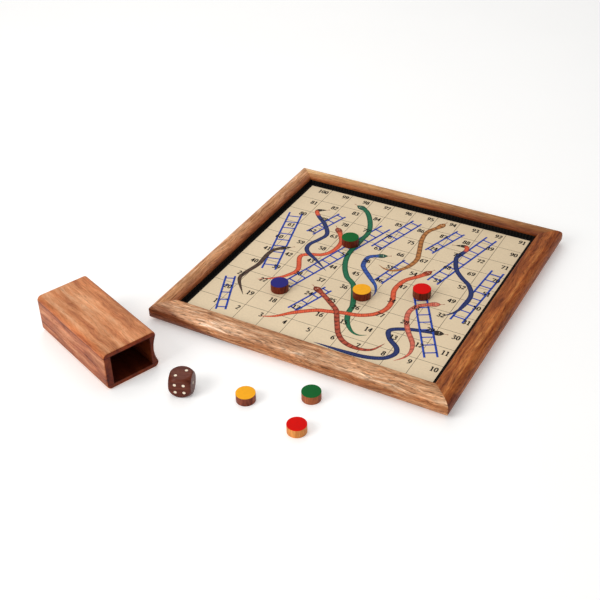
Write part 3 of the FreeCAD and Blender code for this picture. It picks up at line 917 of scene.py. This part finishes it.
class GAME_OT_frame(bpy.types.Operator):
    """Oil the four mitred rails and their hidden keys"""
    bl_idname = "game.frame"
    bl_label = "Frame"

    def execute(self, context):
        level, crossed = (0, 0, 0), (0, 0, math.radians(-90))
        _, low, high = centre_of("upper_steel_sheet")
        left, front, right, back = low.x, low.y, high.x, high.y
        # From the steel's hidden rim, the nose's tone changes over this much outwards, and the wall
        # stands this far inwards
        out, wall = 8 * MM, 4.35 * MM
        plain = (1.0, 1.0, 1.0)
        # Painted highlight and shade: the rails' noses are painted paler and their inner edges
        # darker, as light falls on them, and most rails change in tone from end to end
        pale, deep = (1.15, 1.20, 1.28), (0.88, 0.76, 0.64)
        # Painted shade: the inner walls and edges at the back and on the left are painted darker
        # and redder
        red = (0.58, 0.36, 0.25)
        # Painted highlight: on the right rail a brighter line runs where the flat top meets the
        # nose, and painted shade darkens the nose beyond it
        crest_highlight, shaded = (1.05, 1.12, 1.18), (0.66, 0.50, 0.38)
        _, rail_low, rail_high = centre_of("right_rail")
        crest = rail_high.x - (rail_high.z - rail_low.z) / 2
        looks = {  # tones, direction of the grain, place in the plank, flecks, other marks: changes of tone and painted highlights and shade
            "front_rail": (("#A26A44", "#C08C64", "#D2A47E", "#E8C8A8"), level, 0.13, 0.78, (
                drift("Y", front - out, front, pale, deep),
                drift("X", left, right, (1.06, 1.08, 1.12), (0.90, 0.84, 0.76)),
                # Painted shade: the lower nose darker, and over its left end higher and darker
                heartwood(11.0, (0.68, 0.50, 0.36)),
                heartwood(-2.0, (0.36, 0.22, 0.15), ("X", left, left + 90 * MM, 16.0)))),
            "right_rail": (("#703410", "#9A5222", "#AC642E", "#BE7A40"), crossed, 0.29, 0.50, (
                drift("X", right, right + out, deep, (1.26, 1.30, 1.34)),
                drift("Y", front, back, (1.08, 1.10, 1.10), (0.90, 0.84, 0.80)),
                drift("X", crest - 1.8 * MM, crest, plain, crest_highlight),
                drift("X", crest + 0.3 * MM, crest + 2.2 * MM, plain, shaded),
                # Painted shade: the lower nose darker near the front corner
                heartwood(-2.0, (0.50, 0.36, 0.30), ("Y", front, front + 22 * MM, 15.0)))),
            "back_rail": (("#9E6238", "#BE844E", "#CC9662", "#D8AA7C"), level, 0.47, 0.44, (
                drift("Y", back, back + out, deep, pale),
                drift("X", left, right, (1.22, 1.42, 1.62), (0.56, 0.42, 0.28)),
                drift("Y", back - wall, back + 0.6 * wall, red, plain))),
            "left_rail": (("#8A522A", "#B07648", "#C0885A", "#D6A47C"), crossed, 0.71, 0.55, (
                drift("X", left - out, left, (1.18, 1.26, 1.42), (0.92, 0.84, 0.76)),
                drift("X", left - 0.6 * wall, left + wall, plain, red))),
        }
        for node, (tones, turn, shift, fleck, stains_and_shading) in looks.items():
            finish_node(node, oiled_hardwood(
                "oiled hardwood " + node, tones, turn, shift, fleck=fleck, stains_and_shading=stains_and_shading))
        key_tones = ("#7E5A36", "#A07A50", "#B58F63", "#C7A67A")
        finish_node("corner_splines", oiled_hardwood("planed key wood", key_tones, shift=0.9))
        return {"FINISHED"}


class GAME_OT_panel(bpy.types.Operator):
    """Finish the panel: fibreboard, flocked steel, printed sheets and felt edging"""
    bl_idname = "game.panel"
    bl_label = "Panel"

    def execute(self, context):
        look = context.scene.board_print
        finish_node("core_board", mottled(
            "raw fibreboard", linear("#8A6B4C"), spread=0.15, size_mm=1.5, roughness=0.85))
        steel = black_felt("black flocked sheet steel", look.black)
        paper = printed_paper("laminated cream print paper", look.paper)
        felt = black_felt("black felt", look.black)
        for side, sheet in (("upper", "snakes"), ("lower", "ludo")):
            finish_node(side + "_steel_sheet", steel)
            finish_node(sheet + "_sheet", paper)
            finish_node(side + "_edging", felt)
        return {"FINISHED"}


class Layer:
    """Stamps gathered for one mesh."""

    def __init__(self):
        self.points = []
        self.values = {"stamp": [], "span": [], "turn": [], "ink": []}

    def press(self, stamp, at, span, turn=(0, 0, 0), ink="black"):
        """Adds one stamp."""
        self.points.append(tuple(at))
        self.values["stamp"].append(stamp)
        self.values["span"].append(tuple(span))
        self.values["turn"].append(tuple(turn))
        self.values["ink"].append(linear(INKS[ink]))

    def mesh(self, tree, stock, material):
        """All stamps as one plain mesh."""
        carrier = carrier_mesh(self.points, **self.values)
        return grown(tree, carrier, Stamps=stock, Material=material)


def stamp_stock():
    """Collection of the unit stamps, in the order of their numbers."""
    stock = bpy.data.collections.new("stamps")
    for index in range(TONGUE + 1):
        mesh = stamp_shape(index)
        stock.objects.link(bpy.data.objects.new(mesh.name, mesh))
    return stock


def drop_stock(stock):
    """Removes the unit stamps."""
    for stamp in list(stock.objects):
        bpy.data.objects.remove(stamp)
    bpy.data.collections.remove(stock)


def number_of(column, row, squares):
    """Number of a square: rows run to and fro from the front left corner."""
    across = column if row % 2 == 0 else squares - 1 - column
    return row * squares + across + 1


class GAME_OT_snakes_print(bpy.types.Operator):
    """Print lines, numbers, ladders and snakes on the upper sheet"""
    bl_idname = "game.snakes_print"
    bl_label = "Snakes and ladders print"

    NUMBER_END, NUMBER_FOOT = 0.93, 0.60  # in squares, from the square's front left corner
    DIGIT_ADVANCE = 0.60  # to the next digit, for a numeral of height 1
    EYE_BACK, EYE_ASIDE, EYE_WIDTH = 4.0 * MM, 0.9 * MM, 0.7 * MM
    TONGUE_SPAN = (3.2 * MM, 2.6 * MM, 0.03 * MM)

    def execute(self, context):
        look = context.scene.board_print
        centre, low, high = centre_of("snakes_sheet")
        side = high.x - low.x
        square = side / look.squares
        ink = offset_ink("offset printing ink")
        stock = stamp_stock()
        stamps = stamps_tree()

        def on_field(column, row, layer=0.0):
            return Vector((low.x + column * square, low.y + row * square, high.z + layer))

        lines = grown(
            field_lines_tree(), carrier_mesh([(centre.x, centre.y, high.z)]), Side=side,
            Squares=look.squares, Line=look.line, Thickness=2 * look.line_height, Material=ink)
        lines.attributes.new("ink", "FLOAT_COLOR", "POINT").data.foreach_set(
            "color", list(look.line_ink) * len(lines.vertices))
        place("field_lines", lines, ink, "board", "snakes_print")

        numbers = Layer()
        height = look.number_height
        advance = Vector((self.DIGIT_ADVANCE * height, 0, 0))
        for row in range(look.squares):
            for column in range(look.squares):
                digits = str(number_of(column, row, look.squares))
                end = on_field(column + self.NUMBER_END, row + self.NUMBER_FOOT)
                for index, digit in enumerate(digits):
                    numbers.press(int(digit), end - advance * (len(digits) - index),
                                  (height, height, look.number_layer))
        place("square_numbers", numbers.mesh(stamps, stock, ink), ink, "board", "snakes_print")

        feet, edges, widths = [], [], []
        for index, (foot, top, width) in enumerate(LADDERS):
            feet += [tuple(on_field(*foot)), tuple(on_field(*top))]
            edges.append((2 * index, 2 * index + 1))
            widths += [width * square] * 2
        ladder_ink = mottled(
            "blue ladder ink", look.ladder_ink, spread=0.16, size_mm=2.2, roughness=0.5,
            Specular_IOR_Level=0.1)
        ladders = grown(
            ladders_tree(), carrier_mesh(feet, edges, ladder_width=widths),
            Spacing=look.rung_spacing, Rail=look.ladder_rail, Rung=look.ladder_rung,
            Thickness=2 * look.ladder_layer, Material=ladder_ink)
        place("ladders", ladders, ladder_ink, "board", "snakes_print")

        skin = snake_ink("printed snake skin")
        place("snakes", self.snakes(look, on_field, square, skin), skin, "board", "snakes_print")
        faces = self.snake_faces(look, on_field)
        drawn = faces.mesh(stamps, stock, ink)
        place("snake_eyes_and_tongues", drawn, ink, "board", "snakes_print")
        drop_stock(stock)
        return {"FINISHED"}

    def snakes(self, look, on_field, square, skin):
        """All snakes as one flat mesh."""
        points, edges = [], []
        values = {key: [] for key in (
            "from_head", "to_tail", "half_width", "nose_length", "layer", "banding",
            "head_ink", "neck_ink", "body_ink")}
        for index, (head, neck, body, banding, width, nose, path) in enumerate(SNAKES):
            spots = [on_field(*spot) for spot in path]
            runs = [0.0]
            for first, second in zip(spots, spots[1:]):
                runs.append(runs[-1] + (second - first).length)
            edges += [(len(points) + k, len(points) + k + 1) for k in range(len(spots) - 1)]
            points += [tuple(spot) for spot in spots]
            values["from_head"] += runs
            values["to_tail"] += [runs[-1] - run for run in runs]
            # The first snake lies under the ladders, the others over them
            step = index + 2 if index else 0
            same = {
                "half_width": 0.5 * width * square, "nose_length": nose * MM,
                "layer": look.snake_layer + step * look.layer_step, "banding": banding,
                "head_ink": linear(INKS[head]), "neck_ink": linear(INKS[neck]),
                "body_ink": linear(INKS[body])}
            for key, value in same.items():
                values[key] += [value] * len(spots)
        return grown(
            snakes_tree(), carrier_mesh(points, edges, **values), Step=look.snake_step,
            Head=look.snake_head, Tail=look.snake_tail, Face=points[0][2], Material=skin)

    def snake_faces(self, look, on_field):
        """Eyes and forked tongues."""
        faces = Layer()
        # Eyes stand on the level of the uppermost snake
        top = look.snake_layer + (len(SNAKES) + 1) * look.layer_step
        eye_span = (self.EYE_WIDTH, self.EYE_WIDTH, look.layer_step)
        for *_, path in SNAKES:
            nose = on_field(*path[0], top)
            ahead = (nose - on_field(*path[1], top)).normalized()
            aside = Vector((-ahead.y, ahead.x, 0))
            bearing = math.atan2(ahead.y, ahead.x)
            for way in (1, -1):
                eye = nose - ahead * self.EYE_BACK + aside * way * self.EYE_ASIDE
                faces.press(DISC, eye, eye_span, ink="cream")
            faces.press(TONGUE, on_field(*path[0]), self.TONGUE_SPAN, (0, 0, bearing), "rust")
        return faces


class GAME_OT_ludo_print(bpy.types.Operator):
    """Print a plain ludo field on the lower sheet"""
    bl_idname = "game.ludo_print"
    bl_label = "Ludo print"

    LAYER = 0.02 * MM
    # Sizes in squares of the ludo field
    YARD, YARD_INSIDE, YARD_SPOT, CELL, GOAL = 5.9, 4.2, 1.3, 0.94, 2.96
    YARD_AT, ARM_LENGTH, ARM_WIDTH = -4.5, 6.0, 3.0

    def execute(self, context):
        look = context.scene.board_print
        centre, low, high = centre_of("ludo_sheet")
        unit = (high.x - low.x) / look.ludo_squares
        ink = offset_ink("ludo printing ink")
        stock = stamp_stock()
        field = Layer()
        for quarter, colour in enumerate(("home_red", "home_green", "home_yellow", "home_blue")):
            self.quarter(field, centre, low.z, unit, quarter, colour)
        place("ludo_field", field.mesh(stamps_tree(), stock, ink), ink, "board", "ludo_print")
        drop_stock(stock)
        return {"FINISHED"}

    def quarter(self, field, centre, face, unit, quarter, colour):
        """One home yard, the arm beside it and its wedge of the middle, seen from below."""
        angle = quarter * math.pi / 2
        about = Matrix.Rotation(angle, 3, "Z")
        turn = (about @ Matrix.Rotation(math.pi, 3, "X")).to_euler()

        def press(stamp, column, row, across, deep, layer, ink):
            spot = about @ Vector((column * unit, row * unit, 0))
            field.press(stamp, (centre.x + spot.x, centre.y + spot.y, face),
                        (across * unit, deep * unit, layer * self.LAYER), turn, ink)

        yard = self.YARD_AT
        press(SQUARE, yard, yard, self.YARD, self.YARD, 1, colour)
        press(SQUARE, yard, yard, self.YARD_INSIDE, self.YARD_INSIDE, 2, "cream")
        for column in (yard - 1, yard + 1):
            for row in (yard - 1, yard + 1):
                press(DISC, column, row, self.YARD_SPOT, self.YARD_SPOT, 3, colour)
        press(SQUARE, yard, 0, self.ARM_LENGTH, self.ARM_WIDTH, 1, "black")
        for column in range(-7, -1):
            for row in (-1, 0, 1):
                home = row == 0 and column > -7
                start = row == 1 and column == -6
                ink = colour if home or start else "cream"
                press(SQUARE, column, row, self.CELL, self.CELL, 2, ink)
        press(WEDGE, 0, 0, self.GOAL, self.GOAL, 2, colour)


class GAME_OT_tokens(bpy.types.Operator):
    """Turn the tokens: wooden disc, coloured top and magnet"""
    bl_idname = "game.tokens"
    bl_label = "Tokens"

    def execute(self, context):
        look = context.scene.tokens
        upright = (0, math.radians(90), 0)
        dark = ("#481206", "#66200C", "#762C16", "#863A20")
        woods = {
            "spare_yellow": ("#582012", "#76321E", "#864028", "#985034"),
            "spare_green": ("#743618", "#944C28", "#A65C34", "#B66E44"),
            "spare_red": ("#AE6426", "#CE7E38", "#DC9048", "#E6A25A"),
        }
        paints = {
            colour: mottled(
                colour + " satin lacquer", getattr(look, colour), spread=0.06, size_mm=3.0,
                roughness=0.6, relief_mm=0.02, Specular_IOR_Level=0.06)
            for colour in ("green", "blue", "yellow", "red")}
        nickel = mottled(
            "nickel plated magnet", linear("#C9C6BE"), spread=0.06, size_mm=2.0, roughness=0.28,
            Metallic=1.0)
        for index, name in enumerate(TOKENS):
            body = name + "_token"
            colour = name.replace("spare_", "")
            wood = oiled_hardwood(
                "oiled dowel " + name, woods.get(name, dark), upright, 0.17 * index,
                streak=(30, 1.6), fleck=0.3, end_tint=(0.85, 0.85, 0.85))
            self.turn_wood(look, body, wood)
            self.turn_top(look, body, paints[colour], colour + "_paint")
            self.turn_magnet(look, body, nickel)
        return {"FINISHED"}

    def turn_wood(self, look, body, wood):
        """Disc with an eased lower edge, drilled from below."""
        _, low, high = centre_of(body + "_wood")
        _, magnet_low, magnet_high = centre_of(body + "_magnet")
        radius, top = (high.x - low.x) / 2, high.z
        hole = (magnet_high.x - magnet_low.x) / 2 + look.hole_clearance
        foot, rim = (radius, low.z), (radius, top)
        outline = [(0, magnet_high.z), (hole, magnet_high.z), (hole, low.z)]
        outline += eased(foot, (hole, low.z), rim, look.edge)
        outline += [rim, (0, top)]
        self.set_down("_disc", lathe(outline), wood, body, "token_wood", "_wood")

    def turn_top(self, look, body, paint, slot):
        """Coloured layer with an eased edge."""
        _, low, high = centre_of(body + "_top")
        radius = (high.x - low.x) / 2
        outline = [(0, low.z), (radius, low.z)]
        outline += eased((radius, high.z), (radius, low.z), (0, high.z), look.top_edge)
        outline += [(0, high.z)]
        self.set_down("_colour", lathe(outline), paint, body, slot, "_top")

    def turn_magnet(self, look, body, nickel):
        """Disc magnet with eased edges."""
        _, low, high = centre_of(body + "_magnet")
        radius = (high.x - low.x) / 2
        edge = look.magnet_edge
        outline = [(0, low.z)]
        outline += eased((radius, low.z), (0, low.z), (radius, high.z), edge)
        outline += eased((radius, high.z), (radius, low.z), (0, high.z), edge)
        outline += [(0, high.z)]
        self.set_down("_disc_magnet", lathe(outline, 40), nickel, body, "magnet_nickel", "_magnet")

    def set_down(self, name, mesh, material, body, slot, node):
        """Moves a turned mesh to the axis of its node and puts it in the scene."""
        centre, _, _ = centre_of(body + node)
        mesh.transform(Matrix.Translation((centre.x, centre.y, 0)))
        place(body + name, mesh, material, body, slot, body + node)


class GAME_OT_die(bpy.types.Operator):
    """Round the die, drill its pips and paint them"""
    bl_idname = "game.die"
    bl_label = "Die"

    FACES = (  # pips, and the turn that brings the upper face there
        (2, (0, 0, 0)), (5, (math.pi, 0, 0)), (4, (math.pi / 2, 0, 0)),
        (3, (-math.pi / 2, 0, 0)), (1, (0, math.pi / 2, 0)), (6, (0, -math.pi / 2, 0)),
    )
    CRISPNESS = 60  # how sharply the flats meet the ball
    PIP_WALL = 4  # how steep a pip's wall is
    PAINT_SPAN = 0.9  # share of a pip's width that is painted
    WELD = 0.001 * MM

    def execute(self, context):
        look = context.scene.die
        centre, low, high = centre_of("die")
        half = (high.z - low.z) / 2
        stand = Matrix.Translation(centre) @ Matrix.Rotation(look.turn, 4, "Z")
        tones = ("#441608", "#562212", "#602A1A", "#703A26")
        wood = oiled_hardwood(
            "polished die wood", tones, (0, 0, -look.turn), shift=0.05, streak=(30, 2.4),
            fleck=0.2, polish=0.34, end_tint=(0.92, 0.80, 0.74))
        body = self.body(look, half)
        body.transform(stand)
        place("rounded_die", body, wood, "die", "die_wood", "die")

        paint = mottled(
            "ivory pip paint", look.pip_paint, spread=0.05, size_mm=0.8, roughness=0.45)
        pips = Layer()
        width = self.PAINT_SPAN * look.pip
        span = (width, width, look.pip_depth - look.paint_depth)
        for count, turn in self.FACES:
            face = stand @ Euler(turn).to_matrix().to_4x4()
            for x, y in self.spots(count, look.pip_spread):
                at = face @ Vector((x, y, half - look.pip_depth))
                pips.press(DISC, at, span, face.to_euler(), "cream")
        stock = stamp_stock()
        place("painted_pips", pips.mesh(stamps_tree(), stock, paint), paint, "die", "die_wood")
        drop_stock(stock)
        return {"FINISHED"}

    def spots(self, count, spread):
        """Places of a face's pips."""
        spots = [(0, 0)] if count % 2 else []
        if count > 1:
            spots += [(-spread, -spread), (spread, spread)]
        if count > 3:
            spots += [(-spread, spread), (spread, -spread)]
        if count == 6:
            spots += [(-spread, 0), (spread, 0)]
        return spots

    def body(self, look, half, cells=72):
        """Cube rounded by a ball, with a dimple for each pip."""
        ball = half * math.sqrt(2) - look.edge_cut
        shape = bmesh.new()
        for count, turn in self.FACES:
            face = Euler(turn).to_matrix()
            dots = self.spots(count, look.pip_spread)
            grid = []
            for j in range(cells + 1):
                row = []
                for i in range(cells + 1):
                    flat = Vector(((2 * i / cells - 1) * half, (2 * j / cells - 1) * half, half))
                    beyond = (flat.length / ball) ** self.CRISPNESS
                    point = flat * (1 + beyond) ** (-1 / self.CRISPNESS)
                    for dot in dots:
                        off = math.hypot(point.x - dot[0], point.y - dot[1]) / (0.5 * look.pip)
                        if off < 1:
                            point.z -= look.pip_depth * min(1.0, self.PIP_WALL * (1 - off))
                    row.append(shape.verts.new(face @ point))
                grid.append(row)
            for below, above in zip(grid, grid[1:]):
                for k in range(cells):
                    shape.faces.new((below[k], below[k + 1], above[k + 1], above[k]))
        bmesh.ops.remove_doubles(shape, verts=shape.verts, dist=self.WELD)
        bmesh.ops.recalc_face_normals(shape, faces=shape.faces)
        mesh = bpy.data.meshes.new("rounded_die")
        shape.to_mesh(mesh)
        shape.free()
        mesh.polygons.foreach_set("use_smooth", [True] * len(mesh.polygons))
        return mesh


class GAME_OT_cup(bpy.types.Operator):
    """Oil the boards of the dice cup along its length"""
    bl_idname = "game.cup"
    bl_label = "Dice cup"

    def execute(self, context):
        look = context.scene.cup
        hinge = next(joint for joint in frame["joints"] if joint["child"] == "cup")
        bearing = math.atan2(hinge["axis"][0], -hinge["axis"][1])
        turn = (0, 0, -bearing)
        _, low, high = centre_of("cup_base")
        stains_and_shading = (
            cup_stain(
                Vector(hinge["pos_m"]), bearing, look.length, look.bore / 2, low.z, high.z),
            glue_line(low.z), glue_line(high.z))
        tones = {
            "cup_upper_board": ("#985030", "#C47C4E", "#D49062", "#E2AA80"),
            "cup_lower_board": ("#9A5C36", "#B4764C", "#C48858", "#D09A6C"),
            "cup_near_board": ("#642A14", "#A26040", "#BE805A", "#D6A27E"),
            "cup_far_board": ("#7C4022", "#A0602F", "#B27242", "#C08654"),
            "cup_base": ("#6A3418", "#8E4E26", "#A06034", "#B07444"),
        }
        for index, (node, shades) in enumerate(tones.items()):
            finish_node(node, oiled_hardwood(
                "oiled hardwood " + node, shades, turn, 0.23 * index, streak=(60, 6.0),
                fleck=0.28, end_tint=(0.62, 0.48, 0.38), stains_and_shading=stains_and_shading))
        return {"FINISHED"}


class GAME_OT_stage(bpy.types.Operator):
    """Set the pale floor, soft light and camera"""
    bl_idname = "game.stage"
    bl_label = "Stage"

    FLOOR_REACH, FLOOR_DROP = 3.0, 0.05 * MM
    SURROUND = 0.45  # strength of the white light from all round
    LAMPS = (  # name, place, size in metres, watts; each looks at the origin
        ("front_softbox", (-0.55, -0.95, 0.75), 0.7, 8.0),
        ("top_softbox", (-0.15, -0.1, 1.3), 1.0, 3.5),
        ("back_softbox", (-0.55, 0.75, 0.95), 0.8, 2.5),
    )

    def execute(self, context):
        look = context.scene.stage
        scene = context.scene
        scene.view_settings.view_transform = "Standard"
        self.floor(look, scene)
        self.lights(scene)
        self.camera(look, scene)
        return {"FINISHED"}

    def floor(self, look, scene):
        """Wide pale floor just under the set."""
        mesh = bpy.data.meshes.new("floor")
        corners = [(x * self.FLOOR_REACH, y * self.FLOOR_REACH, -self.FLOOR_DROP)
                   for x, y in ((-1, -1), (1, -1), (1, 1), (-1, 1))]
        mesh.from_pydata(corners, [], [(0, 1, 2, 3)])
        floor = bpy.data.objects.new("floor", mesh)
        scene.collection.objects.link(floor)
        mesh.materials.append(mottled(
            "backlit white acrylic floor", look.floor, spread=0.01, size_mm=300, roughness=0.6,
            Emission_Color=(1, 1, 1, 1), Emission_Strength=0.22))

    def lights(self, scene):
        """Bright surround and three large soft lamps, the strongest in front on the left."""
        world = bpy.data.worlds.new("studio")
        scene.world = world
        world.use_nodes = True
        back = world.node_tree.nodes["Background"]
        feed(world.node_tree, back, {"Color": (1.0, 1.0, 1.0, 1.0), "Strength": self.SURROUND})
        for name, spot, size, watts in self.LAMPS:
            lamp = bpy.data.lights.new(name, "AREA")
            lamp.energy = watts
            lamp.size = size
            holder = bpy.data.objects.new(name, lamp)
            holder.location = spot
            holder.rotation_euler = (-Vector(spot)).to_track_quat("-Z", "Y").to_euler()
            scene.collection.objects.link(holder)

    def camera(self, look, scene):
        """Camera at the picture's place."""
        a, e, r = look.azimuth, look.elevation, look.roll
        ahead = Vector((-math.sin(a) * math.cos(e), math.cos(a) * math.cos(e), -math.sin(e)))
        level = Vector((math.cos(a), math.sin(a), 0))
        upright = level.cross(ahead)
        right = level * math.cos(r) + upright * math.sin(r)
        above = right.cross(ahead)
        turn = Matrix((right, above, -ahead)).transposed()
        lens = bpy.data.cameras.new("camera")
        lens.sensor_width = look.sensor
        lens.lens = look.lens
        lens.clip_start = 0.01
        eye = bpy.data.objects.new("camera", lens)
        eye.matrix_world = Matrix.Translation(look.camera) @ turn.to_4x4()
        scene.collection.objects.link(eye)
        scene.camera = eye


class GAME_PT_panel(bpy.types.Panel):
    """Steps of the set, in order"""
    bl_idname = "GAME_PT_panel"
    bl_label = "Board Game"
    bl_space_type = "VIEW_3D"
    bl_region_type = "UI"
    bl_category = "Board Game"

    def draw(self, context):
        for step in STEPS:
            self.layout.operator(step.bl_idname)


SETTINGS = {
    "board_print": BoardPrintSettings,
    "tokens": TokenSettings,
    "die": DieSettings,
    "cup": CupSettings,
    "stage": StageSettings,
}
STEPS = (GAME_OT_frame, GAME_OT_panel, GAME_OT_snakes_print, GAME_OT_ludo_print, GAME_OT_tokens,
         GAME_OT_die, GAME_OT_cup, GAME_OT_stage)
CLASSES = (*SETTINGS.values(), *STEPS, GAME_PT_panel)


def register():
    for made in CLASSES:
        bpy.utils.register_class(made)
    for name, group in SETTINGS.items():
        setattr(bpy.types.Scene, name, PointerProperty(type=group))


def unregister():
    for name in SETTINGS:
        delattr(bpy.types.Scene, name)
    for made in reversed(CLASSES):
        bpy.utils.unregister_class(made)


def main():
    register()
    bpy.ops.game.frame()
    bpy.ops.game.panel()
    bpy.ops.game.snakes_print()
    bpy.ops.game.ludo_print()
    bpy.ops.game.tokens()
    bpy.ops.game.die()
    bpy.ops.game.cup()
    bpy.ops.game.stage()


if __name__ == "__main__":
    main()
